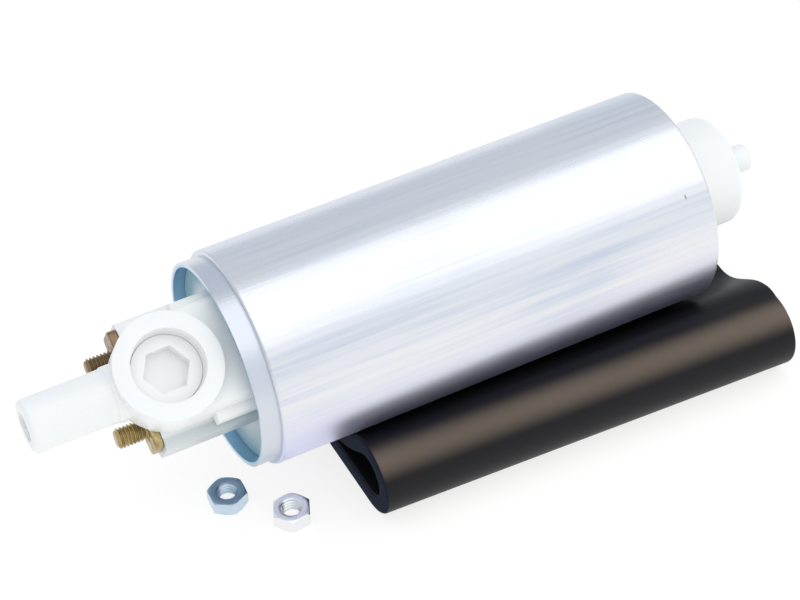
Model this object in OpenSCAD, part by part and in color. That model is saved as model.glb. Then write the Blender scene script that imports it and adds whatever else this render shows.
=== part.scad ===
// In-tank electric fuel pump with its outlet cap, rotor pump, isolating rubber sleeve and terminal nuts.
// Millimetres. The pump lies along X: the outlet rim of the can is at X = 0 and the inlet end is at +X.

/* [Can] */
// Outer diameter of the can
can_d = 43; // [40:0.5:48]
// Length of the can from the outlet rim to the rolled inlet edge
can_len = 98.2; // [96:0.2:110]
// Sheet thickness of the can
can_wall = 0.9; // [0.6:0.1:1.2]
// Outer diameter of the necked collar at the outlet end
collar_d = 40.9; // [38:0.1:41]
// Length of the necked collar
collar_len = 3.8; // [3:0.2:6]
// Opening left by the edge that is rolled over the inlet cover
lip_bore_d = 34.4; // [32:0.2:37]

/* [Outlet cap] */
// How far the pump is rolled about its own axis, which turns the valve boss to the front
cap_roll = 33; // [0:1:90]
// Depth of the cap's outer face inside the rim of the can
cap_set = 2.4; // [1:0.1:3]
// Thickness of the cap's flange behind the collar
flange_t = 3.2; // [2.6:0.1:4]
// Height of the valve boss above the pump's axis
boss_rise = 17.4; // [16:0.1:18]
// Diameter of the valve boss
boss_d = 20.4; // [19:0.2:22]
// Distance of the valve boss's axis outside the rim
boss_out = 12.2; // [11.5:0.1:13]
// Height of the block that joins the boss to the plate
block_rise = 14.9; // [14:0.1:16]
// Width of the block's foot
foot_w = 23.8; // [22:0.2:26]
// Height of the block's foot
foot_rise = 12; // [10:0.1:13]
// Reach of the block's foot outside the rim
foot_out = 6.4; // [5:0.1:8]
// Outer diameter of the outlet spigot
spigot_d = 10.4; // [9:0.1:10.6]
// Bore of the outlet spigot
spigot_bore_d = 5.6; // [4:0.1:6.4]
// Height of the spigot's axis above the pump's axis
spigot_rise = 10.4; // [10:0.1:11]
// Distance of the spigot's end outside the rim
spigot_out = 39.2; // [34:0.2:46]

/* [Terminals] */
// Diameter of the terminal studs
stud_d = 4; // [3:0.5:5]
// Distance between the two studs
stud_pitch = 14; // [13.8:0.1:14.8]
// Height of the studs above the pump's axis
stud_rise = 4.4; // [3.6:0.1:4.6]
// Distance of the stud tips outside the rim
stud_out = 23.8; // [22:0.2:28]
// Distance of the terminal blocks' end faces outside the rim
terminal_out = 16.5; // [16.3:0.1:17.5]
// Width over both terminal blocks
terminal_w = 25.6; // [25:0.1:27]
// Height of the terminal blocks' top faces above the pump's axis
terminal_rise = 8; // [7.8:0.1:9]
// Height of one terminal block from its bottom to its top face
terminal_h = 8.5; // [8:0.1:9.5]
// Width of the brass plate under each nut
plate_w = 9.2; // [8.4:0.2:9.6]
// Thickness of the brass plate
plate_t = 1.8; // [1:0.1:2.2]
// Width across the flats of a terminal nut
nut_af = 7; // [6:0.5:8]
// Thickness of a terminal nut
nut_t = 3.2; // [2.4:0.1:4]

/* [Outlet valve] */
// Diameter of the threaded valve plug
plug_d = 13.2; // [12:0.1:14]
// Depth of the plug's face below the boss's face
plug_set = 3.3; // [2:0.1:4]
// Length of the valve plug
plug_len = 3.8; // [3.4:0.1:4.2]
// Width across the flats of the plug's hexagon socket
plug_hex_af = 8; // [6:0.5:9]
// Depth of the hexagon socket
plug_hex_depth = 2.6; // [2:0.1:2.8]
// Diameter of the valve ball
ball_d = 6; // [5.4:0.1:6.4]
// Bore of the valve seat
seat_bore_d = 4.2; // [3.8:0.1:4.6]
// How far the ball lifts off its seat
ball_lift = 1.6; // [1:0.1:2]

/* [Motor] */
// Diameter of the armature shaft
shaft_d = 5; // [4:0.1:6]
// Diameter of the armature's steel core
core_d = 27.6; // [26:0.1:28]
// Free length between the winding's end turns and each end of the steel ring
end_turn_gap = 3.625; // [3:0.025:5]
// Number of slots in the core
core_slots = 8; // [6:1:10]
// Diameter of the commutator
commutator_d = 14; // [12:0.2:15]
// Length of the commutator's copper face
commutator_len = 8; // [7.6:0.1:8.6]
// Angle that each magnet spans
magnet_arc = 130; // [110:5:140]
// Wall of the steel ring round the magnets
ring_wall = 2; // [1.5:0.1:2.2]
// Width of a brush along the shaft
brush_l = 6; // [5:0.2:6.4]
// Width of a brush across the shaft
brush_w = 5; // [4:0.2:6]
// Radial length of a brush
brush_h = 7.6; // [6:0.2:8]
// Travel of a brush against its spring
brush_travel = 1; // [0.5:0.1:1.2]

/* [Rotor pump] */
// Number of teeth on the inner rotor
teeth = 6; // [5:1:6]
// Offset between the inner and the outer rotor
eccentricity = 1.3; // [1:0.05:1.3]
// Radius on which the outer rotor's teeth are centred
tooth_circle_r = 11.4; // [11.2:0.1:12]
// Radius of one tooth of the outer rotor
tooth_r = 3.4; // [3:0.1:3.5]
// Outer diameter of the outer rotor
outer_rotor_d = 28.8; // [28:0.2:30]
// Thickness of both rotors
rotor_t = 8; // [6:0.5:9]
// Diameter of the fixed spindle under the inner rotor
spindle_d = 5; // [4:0.2:5]
// Thickness of the port plate on the motor side
port_plate_t = 7; // [6.5:0.1:7.5]
// Thickness of the inlet plate
inlet_plate_t = 6; // [5:0.1:6.5]
// Diameter of the pump screws
screw_d = 2.5; // [2:0.5:2.5]

/* [Inlet cover] */
// Diameter of the dome on the inlet cover
dome_d = 22.4; // [20:0.2:26]
// Length of the dome outside the can
dome_len = 13.8; // [10:0.2:16]
// Sideways offset of the dome from the pump's axis
dome_shift = 1; // [0:0.1:1.5]
// Diameter of the filter peg at the middle of the dome
peg_d = 5.7; // [5:0.1:7]
// Length of the filter peg
peg_len = 7; // [4:0.2:9]
// Wall of the dome
dome_wall = 1.8; // [1.4:0.1:2.2]
// Width of the curved inlet slots in the dome's end
inlet_slot_w = 3.4; // [2.5:0.1:3.6]

/* [Rubber sleeve] */
// Wall of the rubber sleeve
sleeve_wall = 4; // [3:0.1:4.4]
// Length of the rubber sleeve
sleeve_len = 90.3; // [60:0.1:110]
// Distance of the sleeve's outlet end from the rim of the can
sleeve_start = 20.5; // [10:0.1:30]
// Middle radius of the open folds at both sides of the sleeve
fold_r = 6.1; // [5.4:0.05:6.4]
// Reach of the front fold at the outlet end
fold_reach = 28.9; // [27:0.1:30]
// Further reach of the front fold at the inlet end
fold_skew = 3.9; // [0:0.1:5]
// Height of the wave in the layer above the front fold at the inlet end
fold_wave = 1.2; // [0:0.1:1.6]
// Inner diameter of the sleeve when it is round
sleeve_bore_d = 43; // [40:0.5:46]

/* [Fits] */
// Radial clearance of the parts that are pushed into the can
can_fit = 0.1; // [0.05:0.01:0.15]
// Face to face clearance of stacked parts
stack_gap = 0.05; // [0.02:0.01:0.1]
// Radial running clearance of shafts and rotors
run_fit = 0.05; // [0.03:0.01:0.08]
// Gap between the armature and the magnets
air_gap = 0.4; // [0.3:0.05:0.6]
// Gap that keeps a soft or loose part off its neighbour
soft_gap = 0.2; // [0.1:0.05:0.3]

/* [Hidden] */
$fn = 96;

can_r = can_d / 2;
bore_r = can_r - can_wall;
collar_bore_r = collar_d / 2 - can_wall;
fit_r = bore_r - can_fit;
shoulder_x = collar_len + can_wall;
lip_x = can_len - can_wall;

// Stations along the pump, from the outlet end to the inlet end
seal_d = 1.9;
flange_x = shoulder_x + stack_gap;
seal_x = flange_x + flange_t;
holder_x = seal_x + seal_d + 2 * stack_gap;
holder_t = 2.5;
brush_bay = 14.7;
ring_x = holder_x + brush_bay;
cover_flange_t = 5;
cover_x = lip_x - stack_gap - cover_flange_t - seal_d - stack_gap;
inlet_plate_x = cover_x - stack_gap - inlet_plate_t;
rotor_ring_t = rotor_t + 2 * stack_gap;
rotor_ring_x = inlet_plate_x - stack_gap - rotor_ring_t;
rotor_x = rotor_ring_x + stack_gap;
port_plate_x = rotor_ring_x - stack_gap - port_plate_t;
ring_end_x = port_plate_x - stack_gap;

// Heights of the outlet valve, measured from the pump's axis towards the boss
plug_face_z = boss_rise - plug_set;
plug_base_z = plug_face_z - plug_len;
recess_d = plug_d + 0.8;
recess_z = plug_face_z + 3 * stack_gap;
spigot_root_d = spigot_d + 0.5;
spigot_root_out = boss_out + boss_d / 2 + 0.6;
throat_d = spigot_bore_d - 1;
throat_out = boss_out + recess_d / 2 + 1;
seat_t = 2.6;
seat_face_z = 0.8;
seat_ring_d = 7.6;
chamber_d = seat_ring_d + 0.1;
chamber_wall = 0.95;
ball_r = ball_d / 2;
ball_gap = 0.02;
ball_z = seat_face_z + sqrt(ball_r * ball_r - seat_bore_d * seat_bore_d / 4) + ball_gap;
passage_d = 4.4;
passage_z = seat_face_z - seat_t - passage_d / 2 + 0.4;

// Places of the two loose nuts on the floor
first_nut_x = -3.4;
first_nut_y = -7.0;
second_nut_x = 5.7;
second_nut_y = -16.9;

// Shank of a terminal stud where it passes through its plate and the cap
stud_shank_d = stud_d + 0.8;
stud_shank_out = terminal_out + plate_t;

// Motor radii
magnet_out_r = fit_r - ring_wall - soft_gap;
magnet_in_r = core_d / 2 + air_gap;
end_turn_t = 3.4;
slot_fit = 0.15;
core_x = ring_x + end_turn_gap + end_turn_t + slot_fit;
core_len = ring_end_x - end_turn_gap - end_turn_t - slot_fit - core_x;
bush_d = 9;
bush_len = 5;
commutator_x = holder_x + holder_t + 4;
brush_mid_x = commutator_x + commutator_len / 2;
brush_gap = 0.06;
brush_in_r = commutator_d / 2 + brush_gap;
brush_box_wall = 1;
brush_box_r = bore_r - can_fit - 1;

// Rotor pump
coupling_d = 12.4;
coupling_t = 3.2;
tang_d = 1.9;
tang_pitch_r = 4.5;
tang_len = 4;
shaft_end_x = port_plate_x + port_plate_t - 1;
rotor_clear = 0.08;
port_r = 9.1;
port_w = 2.6;
screw_head_d = 1.8 * screw_d;
screw_pitch_r = fit_r - screw_head_d / 2 - 2 * can_fit - 0.3;
screw_head_t = 2.2;

// Rubber sleeve, drawn on its middle line
sleeve_mid = sleeve_wall / 2;
seat_arc_r = can_r + soft_gap + sleeve_mid;
floor_z = -(can_r + 2 * soft_gap + 2 * sleeve_wall);
fold_z = floor_z + sleeve_mid + fold_r;
low_z = floor_z + sleeve_mid;
flat_z = -seat_arc_r;
back_bend_r = 10;
fold_steps = 40;
bend_steps = 14;
run_steps = 12;
wave_start_y = -4;

// Turns a part that points along Z so that it points along X
module along_x(x = 0, y = 0, z = 0) {
    translate([x, y, z])
        rotate([0, 90, 0])
            children();
}

// Rolls the pump about its own axis: its own Z then points at the valve boss
module rolled() {
    rotate([cap_roll, 0, 0])
        children();
}

// Solid bar along X
module bar(d, x0, x1) {
    along_x(x0)
        cylinder(d = d, h = x1 - x0);
}

// Tube along X
module tube(d, bore, x0, x1) {
    difference() {
        bar(d, x0, x1);
        bar(bore, x0 - 1, x1 + 1);
    }
}

// Flat ring seal of round section, centred on radius r
module seal(r, x) {
    along_x(x)
        rotate_extrude()
            translate([r, 0])
                circle(d = seal_d, $fn = 32);
}

// Block with rounded long edges, drawn from corner to corner in the YZ plane
module rounded_block(x0, x1, w, z0, z1, r) {
    translate([x0, 0, 0])
        rotate([90, 0, 90])
            linear_extrude(x1 - x0)
                rounded_outline(w, z0, z1, r);
}

// Rectangle with round corners, centred on Y
module rounded_outline(w, z0, z1, r) {
    union() {
        translate([-w / 2 + r, z0])
            square([w - 2 * r, z1 - z0]);
        translate([-w / 2, z0 + r])
            square([w, z1 - z0 - 2 * r]);
        for (side = [-1, 1], z = [z0 + r, z1 - r])
            translate([side * (w / 2 - r), z])
                circle(r = r, $fn = 32);
    }
}

// Points of a round wire that follows a helix along Z, as rings of sides points
function coil_ring(r, wire, pitch, steps, i) =
    let (sides = 6, a = 360 * i / steps, z = pitch * i / steps)
    [for (k = [0 : sides - 1])
        let (b = 360 * k / sides, out = r + wire / 2 * cos(b))
        [out * cos(a), out * sin(a), z + wire / 2 * sin(b)]];

// Compression spring of round wire, standing on Z = 0
module coil(r, wire, length, turns, steps = 14) {
    sides = 6;
    rings = turns * steps;
    pitch = (length - wire) / turns;
    points = [for (i = [0 : rings]) each coil_ring(r, wire, pitch, steps, i)];
    skin = [for (i = [0 : rings - 1], k = [0 : sides - 1])
        let (n = (k + 1) % sides, a = i * sides, b = (i + 1) * sides)
        each [[a + k, b + k, b + n], [a + k, b + n, a + n]]];
    first = [for (k = [1 : sides - 2]) [0, k, k + 1]];
    last = [for (k = [1 : sides - 2]) [rings * sides, rings * sides + k + 1, rings * sides + k]];
    translate([0, 0, wire / 2])
        polyhedron(points = points, faces = concat(skin, first, last));
}

// Aluminium can: a necked collar at the outlet end and an edge rolled over the inlet cover
module can() {
    edge_r = 0.6;
    color([0.84, 0.85, 0.88])
        along_x()
            rotate_extrude()
                union() {
                    translate([collar_bore_r, 0])
                        square([can_wall, shoulder_x]);
                    translate([collar_bore_r, collar_len])
                        square([can_r - edge_r - collar_bore_r, can_wall]);
                    translate([bore_r, collar_len + edge_r])
                        square([can_wall, can_len - collar_len - 2 * edge_r]);
                    translate([lip_bore_d / 2, lip_x])
                        square([can_r - edge_r - lip_bore_d / 2, can_wall]);
                    for (x = [collar_len + edge_r, can_len - edge_r])
                        translate([can_r - edge_r, x])
                            circle(r = edge_r, $fn = 32);
                }
}

// Solid shape of the outlet cap's moulding before its bores are cut
module cap_body() {
    block_drop = -passage_z + passage_d / 2 + 1.4;
    corner_r = 1.5;
    neck_wall = 1.8;
    bar(2 * (collar_bore_r - can_fit), cap_set, flange_x + flange_t / 2);
    bar(2 * fit_r, flange_x, flange_x + flange_t);
    tube(2 * (fit_r - seal_d), 2 * (fit_r - seal_d - neck_wall), seal_x - 1, holder_x - stack_gap);
    translate([-boss_out, 0, terminal_rise])
        cylinder(d = boss_d, h = boss_rise - terminal_rise);
    translate([-boss_out, 0, -block_drop])
        cylinder(d = chamber_d + 2 * chamber_wall, h = block_drop + terminal_rise + 1);
    rounded_block(-boss_out, cap_set + 1, boss_d, 1, block_rise, corner_r);
    rounded_block(-foot_out, cap_set + 1, foot_w, 1, foot_rise, corner_r);
    rounded_block(-terminal_out, cap_set + 1, terminal_w, terminal_rise - terminal_h,
        terminal_rise, corner_r);
    rounded_block(-boss_out, cap_set + 1, chamber_d + 2 * chamber_wall, -block_drop, 2, corner_r);
    along_x(-spigot_out, 0, spigot_rise)
        spigot();
}

// Outlet spigot with a rounded lip and a low step that stops the hose, standing along Z from its free end
module spigot() {
    lip_r = 1;
    rotate_extrude()
        union() {
            translate([0, lip_r])
                square([spigot_d / 2, spigot_out - boss_out - lip_r]);
            translate([0, spigot_out - spigot_root_out])
                square([spigot_root_d / 2, spigot_root_out - boss_out]);
            square([spigot_d / 2 - lip_r, lip_r * 2]);
            translate([spigot_d / 2 - lip_r, lip_r])
                circle(r = lip_r, $fn = 32);
        }
}

// Moulded plastic outlet cap with spigot, valve boss and terminal blocks
module outlet_cap() {
    nut_space_d = nut_af / cos(30) + 0.4;
    color([0.95, 0.95, 0.94])
        rolled()
            difference() {
                cap_body();
                along_x(-spigot_out - 1, 0, spigot_rise)
                    cylinder(d = spigot_bore_d, h = spigot_out - throat_out + 1);
                intersection() {
                    along_x(-throat_out - 1, 0, spigot_rise)
                        cylinder(d = throat_d, h = throat_out - boss_out + 1);
                    translate([-spigot_out, -boss_d / 2, 0])
                        cube([spigot_out, boss_d, plug_base_z]);
                }
                translate([-boss_out, 0, seat_face_z - seat_t])
                    cylinder(d = chamber_d, h = boss_rise);
                translate([-boss_out, 0, plug_base_z])
                    cylinder(d = plug_d + 2 * can_fit, h = boss_rise);
                translate([-boss_out, 0, recess_z])
                    cylinder(d = recess_d, h = boss_rise);
                translate([-boss_out, 0, passage_z])
                    cylinder(d = seat_bore_d, h = seat_t + passage_d);
                along_x(-boss_out, 0, passage_z)
                    cylinder(d = passage_d, h = boss_out + holder_x);
                for (side = [-1, 1]) {
                    along_x(-terminal_out - 1, side * stud_pitch / 2, stud_rise)
                        cylinder(d = stud_shank_d + 2 * can_fit, h = terminal_out + holder_x);
                    along_x(-stud_out, side * stud_pitch / 2, stud_rise)
                        cylinder(d = nut_space_d, h = stud_out - stud_shank_out);
                }
            }
}

// Round seal between the outlet cap and the can
module cap_seal() {
    color([0.1, 0.1, 0.1])
        seal(fit_r - seal_d / 2, seal_x + seal_d / 2 + stack_gap);
}

// Screwed plug that closes the valve chamber, with a hexagon socket
module valve_plug() {
    color([0.93, 0.94, 0.95])
        rolled()
            translate([-boss_out, 0, plug_base_z + stack_gap])
                difference() {
                    cylinder(d = plug_d, h = plug_len);
                    translate([0, 0, plug_len - plug_hex_depth])
                        cylinder(d = plug_hex_af / cos(30), h = plug_len, $fn = 6);
                }
}

// Brass seat ring pressed into the foot of the valve chamber
module valve_seat() {
    color([0.78, 0.66, 0.38])
        rolled()
            translate([-boss_out, 0, seat_face_z - seat_t])
                difference() {
                    cylinder(d = seat_ring_d, h = seat_t);
                    translate([0, 0, -1])
                        cylinder(d = seat_bore_d, h = seat_t + 2);
                }
}

// Steel ball of the non-return valve
module valve_ball() {
    color([0.75, 0.76, 0.78])
        rolled()
            translate([-boss_out, 0, ball_z])
                sphere(d = ball_d);
}

// Spring that holds the ball on its seat
module valve_spring() {
    wire = 0.5;
    coil_r = 1.9;
    foot_z = ball_z + sqrt(ball_r * ball_r - coil_r * coil_r) + 0.12;
    color([0.7, 0.7, 0.72])
        rolled()
            translate([-boss_out, 0, foot_z])
                coil(coil_r, wire, plug_base_z - foot_z - 0.02, 3);
}

// Brass terminal studs, moulded through the cap
module terminal_studs() {
    color([0.72, 0.6, 0.34])
        rolled()
            for (side = [-1, 1]) {
                along_x(-stud_out, side * stud_pitch / 2, stud_rise)
                    cylinder(d = stud_d, h = stud_out - stud_shank_out + 1);
                along_x(-stud_shank_out, side * stud_pitch / 2, stud_rise)
                    cylinder(d = stud_shank_d, h = stud_shank_out + seal_x + stack_gap);
            }
}

// Brass plates that the nuts clamp a cable eye against, cut away round the spigot
module terminal_plates() {
    plate_shift = 0.3;
    plate_top = terminal_rise - 0.1;
    plate_bottom = stud_rise - stud_shank_d / 2 - 0.5;
    color([0.7, 0.58, 0.33])
        rolled()
            for (side = [-1, 1])
                difference() {
                    translate([0, side * (stud_pitch / 2 + plate_shift), 0])
                        rounded_block(-stud_shank_out, -terminal_out - stack_gap / 2, plate_w,
                            plate_bottom, plate_top, 1.5);
                    along_x(-terminal_out - 2 * plate_t, side * stud_pitch / 2, stud_rise)
                        cylinder(d = stud_shank_d + 2 * run_fit, h = 3 * plate_t);
                    along_x(-terminal_out - 2 * plate_t, 0, spigot_rise)
                        cylinder(d = spigot_root_d + 2 * soft_gap, h = 3 * plate_t);
                }
}

// One hexagon nut standing on the floor: its bore is the thread's core diameter
module nut() {
    thread_core = 0.83;
    difference() {
        intersection() {
            cylinder(d = nut_af / cos(30), h = nut_t, $fn = 6);
            rotate_extrude()
                polygon([[0, 0], [nut_af * 0.5, 0], [nut_af / cos(30) / 2, nut_t * 0.14],
                    [nut_af / cos(30) / 2, nut_t * 0.86], [nut_af * 0.5, nut_t], [0, nut_t]]);
        }
        translate([0, 0, -1])
            cylinder(d = stud_d * thread_core, h = nut_t + 2);
    }
}

// Zinc plated terminal nuts, taken off and lying in front of the pump
module terminal_nuts() {
    color([0.7, 0.73, 0.78]) {
        translate([first_nut_x, first_nut_y, floor_z])
            rotate([0, 0, -3])
                nut();
        translate([second_nut_x, second_nut_y, floor_z])
            rotate([0, 0, -24])
                nut();
    }
}

// Flat strip of width w between two points
module strip(a, b, w) {
    run = b - a;
    translate(a)
        rotate(atan2(run.y, run.x))
            translate([0, -w / 2])
                square([norm(run), w]);
}

// Brass straps that carry the current from the studs to the brush boxes
module contact_straps() {
    strap_t = 0.6;
    strap_w = 5.4;
    stud_y = stud_pitch / 2;
    brush_end_y = 4;
    brush_end_r = 12;
    stud_end = seal_x + stack_gap;
    color([0.75, 0.6, 0.32])
        rolled()
            for (side = [-1, 1])
                along_x(stud_end + stack_gap)
                    linear_extrude(strap_t)
                        difference() {
                            union() {
                                translate([-stud_rise, side * stud_y])
                                    circle(d = strap_w);
                                translate([-side * brush_end_r, side * brush_end_y])
                                    circle(d = strap_w);
                                strip([-stud_rise, side * stud_y],
                                    [-side * brush_end_r, side * brush_end_y], strap_w - 1);
                            }
                            translate([-side * brush_end_r, side * brush_end_y])
                                circle(d = 2);
                        }
}

// Plastic holder with the outlet bearing's hub, two brush boxes and a spacer rim
module brush_holder() {
    rim_wall = 1.6;
    hub_d = bush_d + 3;
    window_d = 7;
    window_r = 12.4;
    box_w = brush_w + 2 * brush_box_wall + 2 * can_fit;
    box_x = brush_mid_x - brush_l / 2 - brush_box_wall - can_fit;
    box_in_r = commutator_d / 2 + 1.4;
    color([0.2, 0.22, 0.24])
        rolled()
            difference() {
                union() {
                    bar(2 * fit_r, holder_x, holder_x + holder_t);
                    tube(2 * fit_r, 2 * (fit_r - rim_wall), holder_x, ring_x - stack_gap);
                    bar(hub_d, holder_x, holder_x + bush_len + 0.4);
                    for (side = [-1, 1])
                        intersection() {
                            translate([holder_x, -box_w / 2, side > 0 ? box_in_r : -fit_r])
                                cube([ring_x - stack_gap - holder_x, box_w, fit_r - box_in_r]);
                            bar(2 * fit_r, holder_x, ring_x);
                        }
                }
                bar(bush_d + 0.02, holder_x - 1, holder_x + bush_len + 2);
                for (side = [-1, 1])
                    translate([box_x + brush_box_wall, -brush_w / 2 - can_fit,
                        side > 0 ? 0 : -brush_box_r])
                        cube([brush_l + 2 * can_fit, brush_w + 2 * can_fit, brush_box_r]);
                for (side = [-1, 1])
                    along_x(holder_x - 1, side * window_r)
                        cylinder(d = window_d, h = holder_t + 2);
            }
}

// Sintered bronze bush that carries the shaft at the outlet end
module outlet_bearing() {
    color([0.65, 0.5, 0.3])
        tube(bush_d, shaft_d + 2 * run_fit, holder_x, holder_x + bush_len);
}

// One carbon brush with its curved contact face, on the +Z side
module brush() {
    difference() {
        translate([brush_mid_x - brush_l / 2, -brush_w / 2, 0])
            cube([brush_l, brush_w, brush_in_r + brush_h]);
        bar(2 * brush_in_r, brush_mid_x - brush_l, brush_mid_x + brush_l);
    }
}

// Carbon brush on the boss's side of the commutator
module brush_upper() {
    color([0.18, 0.18, 0.19])
        rolled()
            brush();
}

// Carbon brush on the far side of the commutator
module brush_lower() {
    color([0.18, 0.18, 0.19])
        rolled()
            mirror([0, 0, 1])
                brush();
}

// One brush spring, between the back of the brush and the end of its box
module brush_spring() {
    gap = 0.04;
    back_z = brush_in_r + brush_h + gap;
    translate([brush_mid_x, 0, back_z])
        coil(1.7, 0.35, brush_box_r - back_z - gap, 4);
}

// Spring behind the upper brush
module brush_spring_upper() {
    color([0.7, 0.7, 0.72])
        rolled()
            brush_spring();
}

// Spring behind the lower brush
module brush_spring_lower() {
    color([0.7, 0.7, 0.72])
        rolled()
            mirror([0, 0, 1])
                brush_spring();
}

// Ground steel armature shaft
module shaft() {
    color([0.72, 0.73, 0.75])
        bar(shaft_d, holder_x + 0.2, shaft_end_x);
}

// Copper commutator with its ring of hooks for the winding
module commutator() {
    bars = core_slots;
    slit_w = 0.5;
    hook_t = 1.2;
    color([0.8, 0.5, 0.3])
        rolled()
            difference() {
                union() {
                    bar(commutator_d, commutator_x, commutator_x + commutator_len);
                    bar(commutator_d + 2, commutator_x + commutator_len,
                        commutator_x + commutator_len + hook_t);
                }
                bar(shaft_d, commutator_x - 1, commutator_x + commutator_len + 2 * hook_t);
                for (k = [0 : bars - 1])
                    rotate([360 * (k + 0.5) / bars, 0, 0])
                        translate([commutator_x - 1, -slit_w / 2, commutator_d / 2 - 0.9])
                            cube([commutator_len + 2 * hook_t + 1, slit_w, 3]);
            }
}

// Outline of one slot of the core, or of the copper in it when it is drawn in by shrink
module slot_outline(shrink) {
    slot_out_r = core_d / 2 - 1.5 - shrink;
    slot_in_r = 6.2 + shrink;
    half = 180 / core_slots;
    tooth_half = 1.5 + shrink;
    difference() {
        intersection() {
            circle(r = slot_out_r);
            polygon([[0, 0], 40 * [cos(half), sin(half)], 40 * [cos(half), -sin(half)]]);
        }
        circle(r = slot_in_r);
        for (side = [-1, 1])
            rotate(side * half)
                translate([0, -tooth_half])
                    square([40, 2 * tooth_half]);
    }
}

// Stack of steel sheets with winding slots that open to the air gap
module armature_core() {
    opening_w = 1.8;
    color([0.42, 0.43, 0.45])
        rolled()
            along_x(core_x)
                linear_extrude(core_len)
                    difference() {
                        circle(d = core_d);
                        circle(d = shaft_d);
                        for (k = [0 : core_slots - 1])
                            rotate(360 * k / core_slots) {
                                slot_outline(0);
                                translate([core_d / 4, -opening_w / 2])
                                    square([core_d / 4 + 1, opening_w]);
                            }
                    }
}

// Copper winding: its straight runs fill the slots and its end turns bulge at both ends
module armature_winding() {
    end_r = core_d / 2 - 2;
    round_r = 1.4;
    inner_r = shaft_d / 2 + 1.6;
    color([0.72, 0.38, 0.2])
        rolled() {
            along_x(core_x - slot_fit)
                linear_extrude(core_len + 2 * slot_fit)
                    for (k = [0 : core_slots - 1])
                        rotate(360 * k / core_slots)
                            slot_outline(slot_fit);
            for (x = [core_x - slot_fit - end_turn_t, core_x + core_len + slot_fit])
                along_x(x)
                    rotate_extrude()
                        union() {
                            translate([inner_r, round_r])
                                square([end_r - inner_r, end_turn_t - 2 * round_r]);
                            translate([inner_r, 0])
                                square([end_r - round_r - inner_r, end_turn_t]);
                            for (z = [round_r, end_turn_t - round_r])
                                translate([end_r - round_r, z])
                                    circle(r = round_r, $fn = 32);
                        }
        }
}

// Steel ring that closes the magnets' field
module flux_ring() {
    color([0.55, 0.56, 0.58])
        tube(2 * fit_r, 2 * (fit_r - ring_wall), ring_x, ring_end_x);
}

// One ferrite magnet, an arc of constant thickness centred on +Y
module magnet() {
    overhang = 1.5;
    len = core_len + 2 * overhang;
    half = magnet_arc / 2;
    far = 3 * magnet_out_r;
    along_x(core_x - overhang)
        linear_extrude(len)
            intersection() {
                difference() {
                    circle(r = magnet_out_r);
                    circle(r = magnet_in_r);
                }
                polygon([[0, 0], far * [sin(half), cos(half)], [0, far], far * [-sin(half), cos(half)]]);
            }
}

// Field magnet on one side of the armature
module magnet_left() {
    color([0.25, 0.25, 0.27])
        rolled()
            magnet();
}

// Field magnet on the other side of the armature
module magnet_right() {
    color([0.25, 0.25, 0.27])
        rolled()
            mirror([0, 1, 0])
                magnet();
}

// Bent spring steel clips that press the two magnets apart
module magnet_clips() {
    clip_t = 0.5;
    gap_half = 90 - magnet_arc / 2;
    clip_half = gap_half - 2;
    color([0.66, 0.67, 0.7])
        rolled()
            for (side = [0, 180])
                rotate([side, 0, 0])
                    along_x(core_x)
                        linear_extrude(core_len)
                            intersection() {
                                difference() {
                                    circle(r = magnet_out_r);
                                    circle(r = magnet_out_r - clip_t);
                                }
                                polygon([[0, 0], 60 * [-cos(clip_half), sin(clip_half)],
                                    60 * [-cos(clip_half), -sin(clip_half)]]);
                            }
}

// Curved port cut along an arc from angle a0 to a1, as a flat outline
module kidney(r, w, a0, a1) {
    steps = 24;
    outer = [for (i = [0 : steps])
        let (a = a0 + (a1 - a0) * i / steps) (r + w / 2) * [cos(a), sin(a)]];
    inner = [for (i = [steps : -1 : 0])
        let (a = a0 + (a1 - a0) * i / steps) (r - w / 2) * [cos(a), sin(a)]];
    polygon(concat(outer, inner));
    for (a = [a0, a1])
        translate(r * [cos(a), sin(a)])
            circle(d = w, $fn = 32);
}

// Places the three pump screws round the axis
module at_screws() {
    for (k = [0 : 2])
        rotate([120 * k + 30, 0, 0])
            translate([0, screw_pitch_r, 0])
                children();
}

// Plate between the motor and the rotors: inlet-side bearing, coupling chamber and outlet port
module port_plate() {
    chamber_x = port_plate_x + port_plate_t - coupling_t - 2 * stack_gap;
    color([0.7, 0.71, 0.73])
        rolled()
            difference() {
                bar(2 * fit_r, port_plate_x, port_plate_x + port_plate_t);
                bar(bush_d + 0.02, port_plate_x - 1, port_plate_x + port_plate_t);
                bar(coupling_d + 0.6, chamber_x, port_plate_x + port_plate_t + 1);
                along_x(port_plate_x - 1)
                    linear_extrude(port_plate_t + 2)
                        kidney(port_r, port_w, 50, 130);
                at_screws()
                    along_x(port_plate_x + 1)
                        cylinder(d = screw_d + 2 * can_fit, h = port_plate_t);
            }
}

// Sintered bronze bush that carries the shaft at the pump end
module inlet_bearing() {
    bush_end = port_plate_x + port_plate_t - coupling_t - 2 * stack_gap;
    color([0.65, 0.5, 0.3])
        tube(bush_d, shaft_d + 2 * run_fit, port_plate_x, bush_end - stack_gap);
}

// Coupling on the end of the shaft, whose tangs turn the inner rotor
module drive_coupling() {
    disc_x = port_plate_x + port_plate_t - coupling_t;
    color([0.35, 0.3, 0.25])
        rolled() {
            difference() {
                bar(coupling_d, disc_x - stack_gap, disc_x - stack_gap + coupling_t);
                bar(shaft_d, disc_x - 1, shaft_end_x);
            }
            for (a = [0, 120, 240])
                rotate([a, 0, 0])
                    along_x(disc_x, tang_pitch_r)
                        cylinder(d = tang_d, h = coupling_t + tang_len, $fn = 48);
        }
}

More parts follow.
